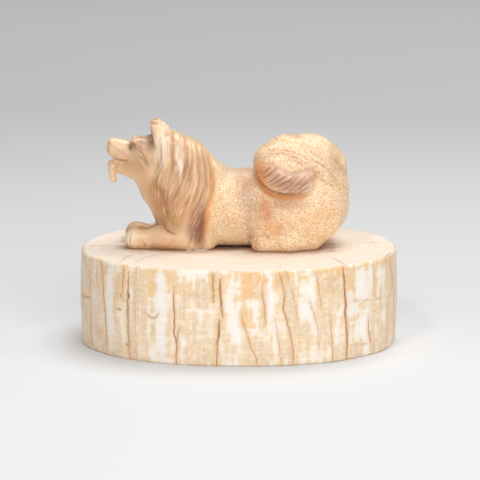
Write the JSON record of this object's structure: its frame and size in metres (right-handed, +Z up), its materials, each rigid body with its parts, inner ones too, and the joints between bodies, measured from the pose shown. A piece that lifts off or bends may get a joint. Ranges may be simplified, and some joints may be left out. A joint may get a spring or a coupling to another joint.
{
  "type": "carved dog figurine",
  "caption": "Crouching long-haired dog with raised head, hanging tongue and tail curled over its rump, carved in ivory and standing on an oval slab.",
  "frame": {"origin": "centre of the slab's flat underside, on the surface that the figurine stands on", "axes": "+X from the dog's nose end to its tail end, along the long way of the oval slab; +Z up; +Y away from the viewer, so that the dog looks along -X"},
  "size_m": [0.0764, 0.0564, 0.0532],
  "materials": {
    "walrus_ivory": "carved and waxed ivory, warm tan, satin on the head and mane, granular on the body",
    "fossil_ivory": "weathered fossil ivory, cream with tan and orange patches and fine cracks, satin"
  },
  "bodies": {
    "root": {"dog": "walrus_ivory", "slab": "fossil_ivory"}
  },
  "joints": []
}
